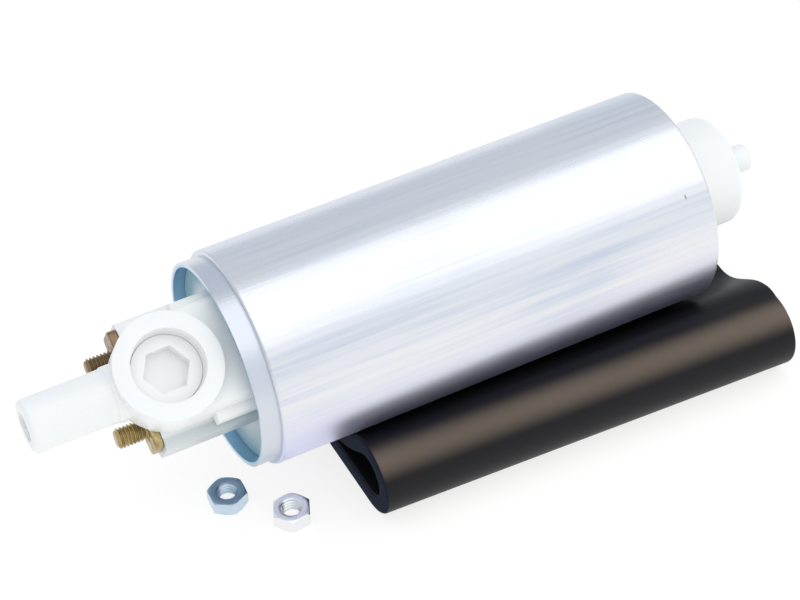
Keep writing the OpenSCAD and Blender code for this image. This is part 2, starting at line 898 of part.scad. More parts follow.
// Steel ring that the outer rotor turns in, bored off centre
module rotor_ring() {
    color([0.62, 0.63, 0.66])
        rolled()
            difference() {
                bar(2 * fit_r, rotor_ring_x, rotor_ring_x + rotor_ring_t);
                along_x(rotor_ring_x - 1, 0, eccentricity)
                    cylinder(d = outer_rotor_d + 2 * run_fit, h = rotor_ring_t + 2);
                at_screws()
                    along_x(rotor_ring_x - 1)
                        cylinder(d = screw_d + 2 * can_fit, h = rotor_ring_t + 2);
            }
}

// Point of the curve that the outer teeth's centres trace, seen from the inner rotor
function trochoid(a) = tooth_circle_r * [cos(a), sin(a)]
    + eccentricity * [cos((teeth + 1) * a), sin((teeth + 1) * a)];

// Unit normal of that curve, pointing outwards
function trochoid_normal(a) =
    let (dx = -tooth_circle_r * sin(a) - (teeth + 1) * eccentricity * sin((teeth + 1) * a),
        dy = tooth_circle_r * cos(a) + (teeth + 1) * eccentricity * cos((teeth + 1) * a),
        size = sqrt(dx * dx + dy * dy))
    [dy, -dx] / size;

// Inner rotor: the parallel curve that stays one tooth radius inside the trochoid.
// Its points are crowded towards the hollows, where the curve turns most.
module inner_rotor() {
    points_per_tooth = 28;
    count = teeth * points_per_tooth;
    crowding = 0.8;
    profile = [for (i = [0 : count - 1])
        let (even = 360 * i / count, a = even + crowding * sin(teeth * even) / teeth * 180 / PI)
        trochoid(a) - (tooth_r + rotor_clear) * trochoid_normal(a)];
    color([0.5, 0.5, 0.52])
        rolled()
            difference() {
                along_x(rotor_x)
                    linear_extrude(rotor_t)
                        rotate(180)
                            polygon(profile);
                bar(spindle_d + 2 * run_fit, rotor_x - 1, rotor_x + rotor_t + 1);
                for (a = [0, 120, 240])
                    rotate([a, 0, 0])
                        along_x(rotor_x - 1, tang_pitch_r)
                            cylinder(d = tang_d + 2 * run_fit, h = tang_len + 2, $fn = 48);
            }
}

// Outer rotor: a ring whose round teeth mesh with the inner rotor
module outer_rotor() {
    root_r = tooth_circle_r + 2 * eccentricity - tooth_r + rotor_clear;
    color([0.44, 0.44, 0.46])
        rolled()
            along_x(rotor_x, 0, eccentricity)
                linear_extrude(rotor_t)
                    difference() {
                        circle(d = outer_rotor_d, $fn = 128);
                        difference() {
                            circle(r = root_r);
                            for (k = [0 : teeth])
                                rotate(180 + 360 * k / (teeth + 1))
                                    translate([tooth_circle_r, 0])
                                        circle(r = tooth_r, $fn = 64);
                        }
                    }
}

// Hardened pin on which the inner rotor turns
module rotor_spindle() {
    coupling_face = port_plate_x + port_plate_t - stack_gap;
    color([0.76, 0.77, 0.79])
        bar(spindle_d, coupling_face + soft_gap, inlet_plate_x + inlet_plate_t - 1);
}

// Plate on the inlet side of the rotors, with the inlet port and counterbored screw holes
module inlet_plate() {
    color([0.7, 0.71, 0.73])
        rolled()
            difference() {
                bar(2 * fit_r, inlet_plate_x, inlet_plate_x + inlet_plate_t);
                bar(spindle_d, inlet_plate_x - 1, inlet_plate_x + inlet_plate_t - 1);
                along_x(inlet_plate_x - 1)
                    linear_extrude(inlet_plate_t + 2)
                        kidney(port_r, port_w, -130, -50);
                at_screws() {
                    along_x(inlet_plate_x - 1)
                        cylinder(d = screw_d + 2 * can_fit, h = inlet_plate_t + 2);
                    along_x(inlet_plate_x + inlet_plate_t - screw_head_t - stack_gap)
                        cylinder(d = screw_head_d + 2 * can_fit, h = screw_head_t + 1);
                }
            }
}

// Three screws that clamp the rotor ring between its plates
module pump_screws() {
    head_x = inlet_plate_x + inlet_plate_t - screw_head_t;
    socket_af = 2;
    color([0.3, 0.31, 0.33])
        rolled()
            at_screws()
                difference() {
                    union() {
                        along_x(port_plate_x + 1 + stack_gap)
                            cylinder(d = screw_d, h = head_x - port_plate_x - 1);
                        along_x(head_x)
                            cylinder(d = screw_head_d, h = screw_head_t);
                    }
                    along_x(head_x + screw_head_t - 1.4)
                        cylinder(d = socket_af / cos(30), h = 2, $fn = 6);
                }
}

// Round seal between the inlet cover and the can
module inlet_seal() {
    color([0.1, 0.1, 0.1])
        seal(fit_r - seal_d / 2, cover_x + seal_d / 2);
}

// Half section of the dome, with a rounded outer edge, from the can's edge to the dome's end
module dome_profile(r, len, edge_r) {
    union() {
        square([r, len - edge_r]);
        square([r - edge_r, len]);
        translate([r - edge_r, len - edge_r])
            circle(r = edge_r, $fn = 48);
    }
}

// Moulded inlet cover: flange behind the rolled edge, hollow dome, filter peg and inlet slots
module inlet_cover() {
    flange_end = lip_x - stack_gap;
    flange_start = flange_end - cover_flange_t;
    dome_root = flange_end - 1;
    reach = can_len + dome_len - dome_root;
    dome_r = dome_d / 2;
    peg_edge_r = 0.6;
    dome_edge_r = 2.2;
    slot_r = (dome_r - dome_wall + peg_d / 2) / 2 + 0.5;
    color([0.94, 0.95, 0.95])
        rolled()
            difference() {
                union() {
                    bar(2 * (fit_r - seal_d), cover_x, flange_start + 1);
                    bar(2 * fit_r, flange_start, flange_end);
                    translate([0, dome_shift, 0]) {
                        along_x(dome_root)
                            rotate_extrude()
                                dome_profile(dome_r, reach, dome_edge_r);
                        along_x(can_len + dome_len - 1)
                            rotate_extrude()
                                dome_profile(peg_d / 2, peg_len + 1, peg_edge_r);
                    }
                }
                translate([0, dome_shift, 0]) {
                    bar(dome_d - 2 * dome_wall, cover_x - 1, can_len + dome_len - dome_wall);
                    along_x(can_len + dome_len - 2 * dome_wall)
                        linear_extrude(3 * dome_wall)
                            for (k = [0 : 2])
                                rotate(120 * k)
                                    kidney(slot_r, inlet_slot_w, -38, 38);
                }
            }
}

// Angles and corner points of the sleeve's middle line for a given reach of the front fold
function fold_y(reach) = -reach + sleeve_mid + fold_r;
function seat_angle(reach) =
    let (y = fold_y(reach), d = sqrt(y * y + fold_z * fold_z))
    atan2(fold_z, y) + acos(min(1, (seat_arc_r + fold_r) / d));

// Distance along Y that the back bend needs between the flat run and the back fold
back_lift = flat_z + back_bend_r - fold_z;
back_run = sqrt(pow(back_bend_r + fold_r, 2) - back_lift * back_lift);
back_angle = asin(back_lift / (back_bend_r + fold_r));

// Length of the middle line without its two straight runs, and the place of the back fold
function bent_length(reach) =
    let (a = seat_angle(reach), y = fold_y(reach), d2 = y * y + fold_z * fold_z)
    PI / 180 * (seat_arc_r * (-90 - a) + fold_r * (270 - 180 - a)
        + back_bend_r * (90 - back_angle) + fold_r * (270 - back_angle))
        + sqrt(max(0, d2 - pow(seat_arc_r + fold_r, 2)));
function back_y(reach) =
    (PI * (sleeve_bore_d + sleeve_wall) - bent_length(reach) + fold_y(reach) + back_run) / 2;

// One point at distance side outside the middle line: centre, radius and angle of an arc
function on_arc(c, r, a) = c + r * [cos(a), sin(a)];

// A point moved down, then up, where it lies between the start of the wave and the top of the fold
function waved(p, y1, wave) =
    let (u = min(1, max(0, (p.x - wave_start_y) / (y1 - wave_start_y))))
    p - [0, wave * sin(360 * u)];

// The closed section of the sleeve at distance side from its middle line, positive outwards
function sleeve_line(reach, side, wave) =
    let (a = seat_angle(reach), front = [fold_y(reach), fold_z], back = [back_y(reach), fold_z],
        bend = [back_y(reach) - back_run, flat_z + back_bend_r],
        seat_end = on_arc([0, 0], seat_arc_r - side, a),
        fold_start = on_arc(front, fold_r + side, a + 180))
    concat(
        [for (i = [0 : bend_steps])
            waved(on_arc([0, 0], seat_arc_r - side, -90 + (a + 90) * i / bend_steps), front.x, wave)],
        [for (i = [1 : run_steps - 1])
            waved(seat_end + (fold_start - seat_end) * i / run_steps, front.x, wave)],
        [for (i = [0 : fold_steps])
            waved(on_arc(front, fold_r + side, a + 180 + (90 - a) * i / fold_steps), front.x, wave)],
        [for (i = [0 : fold_steps])
            on_arc(back, fold_r + side, -90 + (270 - back_angle) * i / fold_steps)],
        [for (i = [0 : bend_steps])
            on_arc(bend, back_bend_r - side, -back_angle - (90 - back_angle) * i / bend_steps)]);

// Rubber sleeve, slipped off and pressed flat under the pump, with an open fold at each side
module rubber_sleeve() {
    outer0 = sleeve_line(fold_reach, sleeve_mid, 0);
    inner0 = sleeve_line(fold_reach, -sleeve_mid + soft_gap / 2, 0);
    outer1 = sleeve_line(fold_reach + fold_skew, sleeve_mid, fold_wave);
    inner1 = sleeve_line(fold_reach + fold_skew, -sleeve_mid + soft_gap / 2, fold_wave);
    n = len(outer0);
    x0 = sleeve_start;
    x1 = sleeve_start + sleeve_len;
    points = concat([for (p = outer0) [x0, p.x, p.y]], [for (p = outer1) [x1, p.x, p.y]],
        [for (p = inner0) [x0, p.x, p.y]], [for (p = inner1) [x1, p.x, p.y]]);
    strips = [for (i = [0 : n - 1])
        let (j = (i + 1) % n)
        each [
            [i, i + n, j + n], [i, j + n, j],
            [i + 2 * n, j + 3 * n, i + 3 * n], [i + 2 * n, j + 2 * n, j + 3 * n],
            [i, j, j + 2 * n], [i, j + 2 * n, i + 2 * n],
            [i + n, j + 3 * n, j + n], [i + n, i + 3 * n, j + 3 * n]]];
    color([0.16, 0.16, 0.17])
        polyhedron(points = points, faces = strips);
}

can();
outlet_cap();
cap_seal();
valve_plug();
valve_seat();
valve_ball();
valve_spring();
terminal_studs();
terminal_plates();
terminal_nuts();
contact_straps();
brush_holder();
outlet_bearing();
brush_upper();
brush_lower();
brush_spring_upper();
brush_spring_lower();
shaft();
commutator();
armature_core();
armature_winding();
flux_ring();
magnet_left();
magnet_right();
magnet_clips();
port_plate();
inlet_bearing();
drive_coupling();
rotor_ring();
inner_rotor();
outer_rotor();
rotor_spindle();
inlet_plate();
pump_screws();
inlet_seal();
inlet_cover();
rubber_sleeve();
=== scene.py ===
import math

import bmesh
import bpy
import numpy as np
from mathutils import Matrix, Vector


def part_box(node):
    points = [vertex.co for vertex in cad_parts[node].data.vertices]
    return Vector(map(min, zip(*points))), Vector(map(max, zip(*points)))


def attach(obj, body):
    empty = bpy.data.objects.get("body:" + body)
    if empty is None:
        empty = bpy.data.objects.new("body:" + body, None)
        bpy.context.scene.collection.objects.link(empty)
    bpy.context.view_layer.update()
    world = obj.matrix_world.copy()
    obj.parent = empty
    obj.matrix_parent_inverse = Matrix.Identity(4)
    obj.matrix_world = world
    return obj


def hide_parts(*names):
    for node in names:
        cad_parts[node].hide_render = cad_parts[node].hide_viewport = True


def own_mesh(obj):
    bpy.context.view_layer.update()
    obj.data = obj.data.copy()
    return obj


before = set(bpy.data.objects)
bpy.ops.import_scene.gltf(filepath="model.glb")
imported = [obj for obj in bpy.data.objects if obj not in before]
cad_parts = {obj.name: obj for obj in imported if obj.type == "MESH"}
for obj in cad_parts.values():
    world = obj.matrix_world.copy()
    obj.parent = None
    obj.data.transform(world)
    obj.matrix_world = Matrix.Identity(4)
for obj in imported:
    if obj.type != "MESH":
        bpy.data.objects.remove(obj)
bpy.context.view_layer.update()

# The table and the light. The pump was photographed on a seamless white table under soft lamps,
# from in front of its outlet end. The camera's place was found by matching the can's two rims.
def standing(place, right, up, back):
    """The matrix of a camera or a lamp at place that looks away from back."""
    turned = np.eye(4)
    turned[:3] = np.stack([right, up, back, place], -1)
    return Matrix(turned.tolist())


lens = bpy.data.cameras.new("camera")
lens.sensor_width = 36.0
lens.lens = 104.27
lens.clip_start = 0.01
camera = bpy.data.objects.new("camera", lens)
camera.matrix_world = standing(
    place=(-0.10234, -0.29020, 0.30988),
    right=(0.88518239, -0.46421585, -0.0309158),
    up=(0.34231091, 0.60484491, 0.7190173),
    back=(-0.31507996, -0.64704426, 0.69430421))
bpy.context.scene.collection.objects.link(camera)
bpy.context.scene.camera = camera
bpy.context.scene.view_settings.view_transform = "Standard"
bpy.context.scene.view_settings.look = "None"

sky = bpy.data.worlds.new("sky")
sky.use_nodes = True
sky.node_tree.nodes["Background"].inputs["Color"].default_value = (0.86, 0.92, 1.0, 1.0)
sky.node_tree.nodes["Background"].inputs["Strength"].default_value = 0.80
bpy.context.scene.world = sky

pump_middle = (0.05, 0.0, 0.0)


def soft_lamp(name, place, size, watts, tint):
    """A flat lamp of the given size, its first side along X, at place and facing the pump's middle."""
    light = bpy.data.lights.new(name, "AREA")
    light.shape = "RECTANGLE"
    light.size, light.size_y = size
    light.energy = watts
    light.color = tint
    back = np.subtract(place, pump_middle)
    back = back / np.linalg.norm(back)
    up = np.cross((1.0, 0.0, 0.0), back)
    up = up / np.linalg.norm(up)
    lamp = bpy.data.objects.new(name, light)
    lamp.matrix_world = standing(place, np.cross(up, back), up, back)
    bpy.context.scene.collection.objects.link(lamp)


soft_lamp("top_lamp", place=(0.20, -0.15, 0.62), size=(1.3, 0.80), watts=2.1, tint=(1.0, 0.97, 0.92))
soft_lamp("front_lamp", place=(0.15, -1.0, 0.34), size=(1.8, 0.9), watts=1.2, tint=(1.0, 0.95, 0.88))


class Shade:
    """A number, colour or vector in a material's nodes. Operators add Math nodes, and node() any other."""

    def __init__(self, tree, socket):
        self.tree, self.socket = tree, socket

    def node(self, kind, inputs, out=0, **settings):
        """Adds a node of one kind: its settings first, and then its sockets' values or links."""
        made = self.tree.nodes.new(kind)
        for key, value in settings.items():
            setattr(made, key, value)
        for key, value in inputs.items():
            if isinstance(value, Shade):
                self.tree.links.new(value.socket, made.inputs[key])
            else:
                made.inputs[key].default_value = value
        return Shade(self.tree, made.outputs[out])

    def math(self, operation, a, b):
        """A Math node's result on two numbers."""
        return self.node("ShaderNodeMath", {0: a, 1: b}, operation=operation)

    def __add__(self, other):
        return self.math("ADD", self, other)

    __radd__ = __add__

    def __sub__(self, other):
        return self.math("SUBTRACT", self, other)

    def __rsub__(self, other):
        return self.math("SUBTRACT", other, self)

    def __mul__(self, other):
        return self.math("MULTIPLY", self, other)

    __rmul__ = __mul__

    def vector(self, operation, other=(0.0, 0.0, 0.0), out=0):
        """A Vector Math node's result on this vector and another."""
        return self.node("ShaderNodeVectorMath", {0: self, 1: other}, out, operation=operation)

    def noise(self, scale, stretch=(1.0, 1.0, 1.0), detail=3.0):
        """Cloudy noise from 0 to 1 on this place: scale in waves per metre, stretched along each axis."""
        place = self.node("ShaderNodeMapping", {"Vector": self, "Scale": stretch})
        return self.node("ShaderNodeTexNoise", {"Vector": place, "Scale": scale, "Detail": detail})

    def mix(self, under, over):
        """The colour under where this number is 0, and the colour over where it is 1."""
        return self.node("ShaderNodeMix", {0: self, 6: under, 7: over}, 2,
            data_type="RGBA", clamp_factor=True)

    def between(self, low, high):
        """A colour that goes from low to high as this number goes from 0 to 1."""
        return self.mix((*low, 1.0), (*high, 1.0))

    def tint(self, under, colour):
        """The colour under, turned to the given colour as this number goes from 0 to 1."""
        return self.mix(under, (*colour, 1.0))

    def radius(self):
        """The distance of this place from the pump's axis, in metres."""
        return self.vector("MULTIPLY", (0.0, 1.0, 1.0)).vector("LENGTH", out=1)

    def along(self, x, y, z):
        """How far this place lies along one direction, in metres."""
        return self.vector("DOT_PRODUCT", (x, y, z), out=1)

    def step(self, low, high):
        """How far this number has come from low to high: 0 at low, 1 at high, and held beyond both."""
        return self.node("ShaderNodeMapRange", {"Value": self, "From Min": low, "From Max": high})

    def near(self, centre, size):
        """1 near the centre, fading to 0 at an ellipsoid of the given half sizes round it, in metres."""
        share = self.vector("SUBTRACT", centre).vector("MULTIPLY", [1.0 / half for half in size])
        return share.vector("LENGTH", out=1).step(1.0, 0.4)

    def bump(self, depth):
        """The surface's normal where this number, from 0 to 1, is a height of up to depth metres."""
        return self.node("ShaderNodeBump", {"Height": self, "Strength": 1.0, "Distance": depth})

    def to(self, shader, name):
        """Links this to one of the shader's inputs."""
        self.tree.links.new(self.socket, shader.inputs[name])


def finish(name, colour, roughness, metallic=0.0, **constants):
    """A material with the shader's plain values, its shader, and the place on the object in metres."""
    made = bpy.data.materials.new(name)
    made.use_nodes = True
    tree = made.node_tree
    shader = tree.nodes["Principled BSDF"]
    shader.inputs["Base Color"].default_value = (*colour, 1.0)
    shader.inputs["Roughness"].default_value = roughness
    shader.inputs["Metallic"].default_value = metallic
    for key, value in constants.items():
        shader.inputs[key.replace("_", " ")].default_value = value
    return made, shader, Shade(tree, tree.nodes.new("ShaderNodeTexCoord").outputs["Object"])


floor_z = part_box("rubber_sleeve")[0].z
table_half = 3.0
corners = [(x * table_half, y * table_half, floor_z) for x, y in ((-1, -1), (1, -1), (1, 1), (-1, 1))]
table = bpy.data.objects.new("table", bpy.data.meshes.new("table"))
table.data.from_pydata(corners, [], [(0, 1, 2, 3)])
white_table, shader, place = finish("white_table", (0.32, 0.315, 0.31), 0.9,
    Emission_Color=(1.0, 0.99, 0.98, 1.0), Emission_Strength=0.76, Specular_IOR_Level=0.0)
table.data.materials.append(white_table)
bpy.context.scene.collection.objects.link(table)


# The can. It is drawn from aluminium sheet, brushed along its length, with a necked collar at the
# outlet end and its other edge rolled over the inlet cover. Handling has left dull streaks along it.
clean, streaked = (0.80, 0.80, 0.825), (0.56, 0.625, 0.74)
painted_far_reflection, painted_under_reflection = (0.60, 0.66, 0.76), (0.69, 0.71, 0.90)
painted_collar_reflection, painted_bore_shade = (0.65, 0.68, 0.74), (0.36, 0.58, 0.76)
dark_spot_grey = (0.36, 0.38, 0.44)
dark_spot_place, dark_spot_size = (0.0928, -0.01629, 0.01403), (0.00025, 0.0007, 0.0007)
away_from_camera = (0.0, 0.9, 0.436)

can_metal, shader, place = finish("can_metal", (0.84, 0.85, 0.87), 0.3, 1.0)
length = place.along(1.0, 0.0, 0.0)
fine_lines = place.noise(1.0, (26.0, 5200.0, 5200.0), 2.0)
wide_lines = place.noise(1.0, (22.0, 800.0, 800.0), 5.0)
mottle = place.noise(1.0, (160.0, 420.0, 420.0), 4.0)
waves = place.noise(30.0, (0.6, 1.0, 1.0), 1.0)
wear_and_painted_sheen = place.noise(34.0, (0.6, 1.0, 1.0), 2.0).step(0.50, 0.72)
# Painted reflection: the can's underside and its far upper side are tinted bluish grey, for what they
# reflect there.
low = place.along(0.0, 0.0, 1.0).step(0.004, -0.007)
far = place.along(*away_from_camera).step(0.0125, 0.0185) * 0.8
# Painted reflection and shade: the collar's outside is tinted darker for what it reflects, and the bore
# inside it is painted dark blue as shade.
collar = length.step(0.0042, 0.0034)
inside = place.radius().step(0.0202, 0.0198) * length.step(0.03, 0.02)
metal = (wide_lines.step(0.42, 0.70) * (0.22 + wear_and_painted_sheen * 0.6)).between(clean, streaked)
metal = low.tint(far.tint(metal, painted_far_reflection), painted_under_reflection)
# A small dark grey spot is painted on the can near its inlet end.
metal = place.near(dark_spot_place, dark_spot_size).tint(metal, dark_spot_grey)
inside.tint(collar.tint(metal, painted_collar_reflection), painted_bore_shade).to(shader, "Base Color")
(0.24 + wear_and_painted_sheen * 0.06 + mottle * 0.06 + low * 0.10).to(shader, "Roughness")
height = fine_lines * 0.16 + (wide_lines * 0.10 + mottle * 0.13) * (1.0 - low * 0.85) + waves * 0.7
height.bump(0.0001).to(shader, "Normal")
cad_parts["can"].material_slots[0].material = can_metal


# The outlet cap. One white plastic moulding carries the hose spigot, the valve boss, the block
# behind it and the two terminal blocks. The inlet cover and the valve plug are of the same plastic.
# Their edges are rounded, as a mould leaves them.
cap_roll = math.radians(33.0)
towards_boss = np.array((0.0, -math.sin(cap_roll), math.cos(cap_roll)))
across_boss = np.array((0.0, math.cos(cap_roll), math.sin(cap_roll)))


def merged_copy(node, name, join_flat=False):
    """A copy of a CAD node on the pump, with its doubles merged and, if asked, its flat faces joined."""
    made = bpy.data.objects.new(name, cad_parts[node].data.copy())
    shell = bmesh.new()
    shell.from_mesh(made.data)
    bmesh.ops.remove_doubles(shell, verts=shell.verts, dist=1e-6)
    if join_flat:
        bmesh.ops.dissolve_limit(shell, angle_limit=math.radians(0.5), verts=shell.verts, edges=shell.edges)
    shell.to_mesh(made.data)
    shell.free()
    made.data.shade_smooth()
    bpy.context.scene.collection.objects.link(made)
    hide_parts(node)
    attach(made, "pump")
    return made


def rounded_copy(node, name, width):
    """A merged copy whose edges sharper than 40 degrees are rounded off to the given width."""
    made = merged_copy(node, name, join_flat=True)
    bevel = made.modifiers.new("edges", "BEVEL")
    bevel.width, bevel.segments = width, 3
    bevel.limit_method, bevel.angle_limit = "ANGLE", math.radians(40.0)
    bevel.harden_normals = True
    return made


shaded_plastic, painted_rim_shade = (0.45, 0.51, 0.52), (0.27, 0.41, 0.47)
cap_plastic, shader, place = finish("cap_plastic", (0.90, 0.91, 0.89), 0.36,
    Subsurface_Weight=0.25, Subsurface_Radius=(0.7, 0.8, 1.0), Subsurface_Scale=0.0025)
length = place.along(1.0, 0.0, 0.0)
# Painted shade: the cap's face behind the can's rim is painted dark blue-grey, and the terminal block
# beside and under the boss grey-blue, where shade falls on them.
rim_shade_mask = length.step(0.0018, 0.0022) * length.step(0.095, 0.090) * place.radius().step(0.0125, 0.0165)
beside_boss = place.along(*across_boss).step(-0.0101, -0.0110)
under_boss = place.along(*towards_boss).step(0.0086, 0.0080)
shaded = beside_boss * under_boss * (0.55 + length.step(-0.014, -0.003) * 0.45)
white = place.noise(130.0).between((0.89, 0.90, 0.885), (0.925, 0.925, 0.905))
rim_shade_mask.tint(shaded.tint(white, shaded_plastic), painted_rim_shade).to(shader, "Base Color")
(place.noise(700.0) * 0.25 + 0.25).to(shader, "Roughness")
place.noise(420.0).bump(0.00002).to(shader, "Normal")

cap = rounded_copy("outlet_cap", "cap_moulding", 0.0004)
cap.material_slots[0].material = cap_plastic

cover = rounded_copy("inlet_cover", "cover_moulding", 0.0003)
cover.material_slots[0].material = cap_plastic

plug = rounded_copy("valve_plug", "plug_moulding", 0.0003)
plug.material_slots[0].material = cap_plastic


# The terminal studs. Two brass studs with a rolled M4 thread are moulded through the cap. The
# thread ends in a small chamfer at each tip, and a brass plate lies at the foot of each stud.
stud_rise, stud_aside = 0.0044, 0.007
stud_tip, thread_end, shank_end = -0.0238, -0.0183, 0.0080
thread_r, root_r, tip_r, shank_r = 0.002, 0.00162, 0.0015, 0.0024
thread_pitch, tip_slope = 0.0007, 1.2


def surface(name, points, closed=False):
    """A mesh on a grid of points. Its columns close on themselves, and its rows do too if it is closed."""
    rows, columns = points.shape[:2]
    i = np.arange(rows if closed else rows - 1)[:, None]
    j = np.arange(columns)[None, :]
    below, beside = (i + 1) % rows, (j + 1) % columns
    faces = [i * columns + j, below * columns + j, below * columns + beside, i * columns + beside]
    mesh = bpy.data.meshes.new(name)
    mesh.from_pydata(points.reshape(-1, 3).tolist(), [], np.stack(faces, -1).reshape(-1, 4).tolist())
    shell = bmesh.new()
    shell.from_mesh(mesh)
    bmesh.ops.remove_doubles(shell, verts=shell.verts, dist=1e-7)
    bmesh.ops.recalc_face_normals(shell, faces=shell.faces)
    shell.to_mesh(mesh)
    shell.free()
    mesh.shade_smooth()
    made = bpy.data.objects.new(name, mesh)
    bpy.context.scene.collection.objects.link(made)
    return made


def joined(name, parts):
    """One object from several, with their meshes put together as they stand."""
    shell = bmesh.new()
    for part in parts:
        shell.from_mesh(part.data)
        bpy.data.objects.remove(part)
    mesh = bpy.data.meshes.new(name)
    shell.to_mesh(mesh)
    shell.free()
    mesh.shade_smooth()
    made = bpy.data.objects.new(name, mesh)
    bpy.context.scene.collection.objects.link(made)
    return made


def on_pump(x, rise, side):
    """The point at x along the pump, plus rise times the boss's direction, plus side times across it."""
    x, rise, side = np.broadcast_arrays(x, rise, side)
    return np.stack([x, 0 * x, 0 * x], -1) + rise[..., None] * towards_boss + side[..., None] * across_boss


def thread_radius(turn, x, top, root):
    """A thread's radius: a triangle wave of turn and x, one for each pitch, with its tips cut flat."""
    wave = np.abs(((x / thread_pitch + turn / (2 * math.pi)) % 1.0) * 2.0 - 1.0)
    return root + (top - root) * np.clip(wave * 1.3 - 0.12, 0.0, 1.0)


def stud(side):
    """A rod along X: round its axis by one parameter and along it by the other, closed at both ends."""
    thread = np.arange(stud_tip, thread_end, thread_pitch / 10)
    x = np.concatenate([[stud_tip], thread, [thread_end, shank_end, shank_end]])[:, None]
    turn = np.linspace(0.0, 2 * math.pi, 56, endpoint=False)
    r = thread_radius(turn[None, :], x, thread_r, root_r)
    r = np.minimum(r, tip_r + (x - stud_tip) * tip_slope)
    r[-3:] = shank_r
    r[0], r[-1] = 0.0, 0.0
    return surface("stud", on_pump(x, stud_rise + r * np.sin(turn), side * stud_aside + r * np.cos(turn)))


bright_brass, dull_brass, brown_brass = (0.50, 0.39, 0.19), (0.20, 0.14, 0.06), (0.27, 0.19, 0.11)
brass, shader, place = finish("brass", (0.60, 0.45, 0.20), 0.34, 1.0)
tarnish = place.noise(420.0, detail=5.0).step(0.38, 0.68)
upper_stud = place.along(*across_boss).step(-0.001, 0.001)
upper_stud.tint(tarnish.between(bright_brass, dull_brass), brown_brass).to(shader, "Base Color")
(0.26 + tarnish * 0.22).to(shader, "Roughness")
place.noise(2600.0).bump(0.00001).to(shader, "Normal")

studs = joined("threaded_studs", [stud(-1.0), stud(1.0)])
studs.data.materials.append(brass)
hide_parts("terminal_studs")
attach(studs, "pump")

plates = rounded_copy("terminal_plates", "rounded_plates", 0.0003)
plates.material_slots[0].material = brass


# The terminal nuts. Two zinc plated M4 nuts, turned off the studs, lie on the table. Each has a
# chamfer on both faces, which cuts its corners into curves, and a tapped hole.
half_height, half_flats, chamfer = 0.0016, 0.0035, 0.0006
hole_r, hole_root_r, hole_chamfer = 0.0020, 0.00166, 0.0002
face_share, side_slope, hole_slope = 0.97, 1.75, 0.9
first_nut, first_turn = (-0.0034, -0.0070), math.radians(-3.0)
second_nut, second_turn = (0.0057, -0.0169), math.radians(-24.0)


def hex_nut(centre, turned):
    """A ring: one parameter goes round the hexagon, half_flats / cos(turn from its nearest flat), and the
    other down the outside and up the thread. Both ends of the outside and of the hole lean in as chamfers.
    """
    sixth = math.pi / 3
    turn = np.linspace(0.0, 2 * math.pi, 144, endpoint=False)
    hexagon = half_flats / np.cos((turn + sixth / 2) % sixth - sixth / 2)
    edge = np.linspace(0.0, 1.0, 9)
    side_z = np.concatenate([half_height - chamfer * edge, -half_height + chamfer * edge[::-1]])
    limit = half_flats * face_share + (half_height - np.abs(side_z)) * side_slope
    side_r = np.minimum(hexagon[None, :], limit[:, None])
    hole_z = np.linspace(-half_height, half_height, 60)
    thread = thread_radius(turn[None, :], hole_z[:, None], hole_r, hole_root_r)
    widened = hole_r + hole_chamfer - (half_height - np.abs(hole_z[:, None])) * hole_slope
    r = np.concatenate([side_r, np.maximum(thread, widened)])
    z = np.concatenate([side_z, hole_z])[:, None] + 0 * turn[None, :]
    x = centre[0] + r * np.cos(turn[None, :] + turned)
    y = centre[1] + r * np.sin(turn[None, :] + turned)
    return surface("nut", np.stack([x, y, floor_z + half_height + z], -1), closed=True)


clear_zinc, frosted_zinc = (0.66, 0.77, 0.86), (0.50, 0.62, 0.73)
first_top_reflection, second_side_reflection, second_top_reflection = (0.22, 0.32, 0.43), (0.86, 0.87, 0.88), (0.92, 0.93, 0.93)
zinc, shader, place = finish("zinc", (0.62, 0.67, 0.72), 0.30, 1.0)
frosting = place.noise(900.0, detail=5.0)
second = place.along(1.0, 0.0, 0.0).step(0.0008, 0.0016)
nut_top = floor_z + 2 * half_height
top_face = place.along(0.0, 0.0, 1.0).step(nut_top - 0.0003, nut_top - 0.0001)
# Painted reflection: the first nut's top face is painted dark blue, and the second nut's sides and top near
# white, for what their tilted faces reflect.
plating_and_reflection = second.tint(frosting.between(clear_zinc, frosted_zinc), second_side_reflection)
plating_and_reflection = (top_face * (1.0 - second)).tint(plating_and_reflection, first_top_reflection)
(second * top_face).tint(plating_and_reflection, second_top_reflection).to(shader, "Base Color")
(0.20 + frosting * 0.25).to(shader, "Roughness")
place.noise(3200.0).bump(0.000012).to(shader, "Normal")

nuts = joined("threaded_nuts", [hex_nut(first_nut, first_turn), hex_nut(second_nut, second_turn)])
nuts.data.materials.append(zinc)
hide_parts("terminal_nuts")
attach(nuts, "pump")


# The rubber sleeve. A tube of black rubber that isolates the pump in its bracket has been slipped
# off and lies pressed flat under the pump, so its two sides stand open as folds.
sleeve_start, sleeve_end, end_round = 0.0205, 0.1108, 0.0006
sleeve_bore, sleeve_wall, can_r, can_gap = 0.043, 0.004, 0.0215, 0.0002
middle_to_inside, middle_to_outside = 0.0019, 0.002
fold_r, back_bend_r = 0.0061, 0.010
start_reach, end_reach, end_wave, wave_start = 0.0289, 0.0328, 0.0012, -0.004


def arc(y, z, radius, start, end):
    """48 points of a circle about (y, z), from one turn to another."""
    turn = np.linspace(start, end, 48)
    return np.stack([y + radius * np.cos(turn), z + radius * np.sin(turn)], -1)


def line_to(start, end):
    """The 22 points between two ends, without the ends."""
    return start + (end - start) * np.linspace(0.0, 1.0, 24)[1:-1, None]


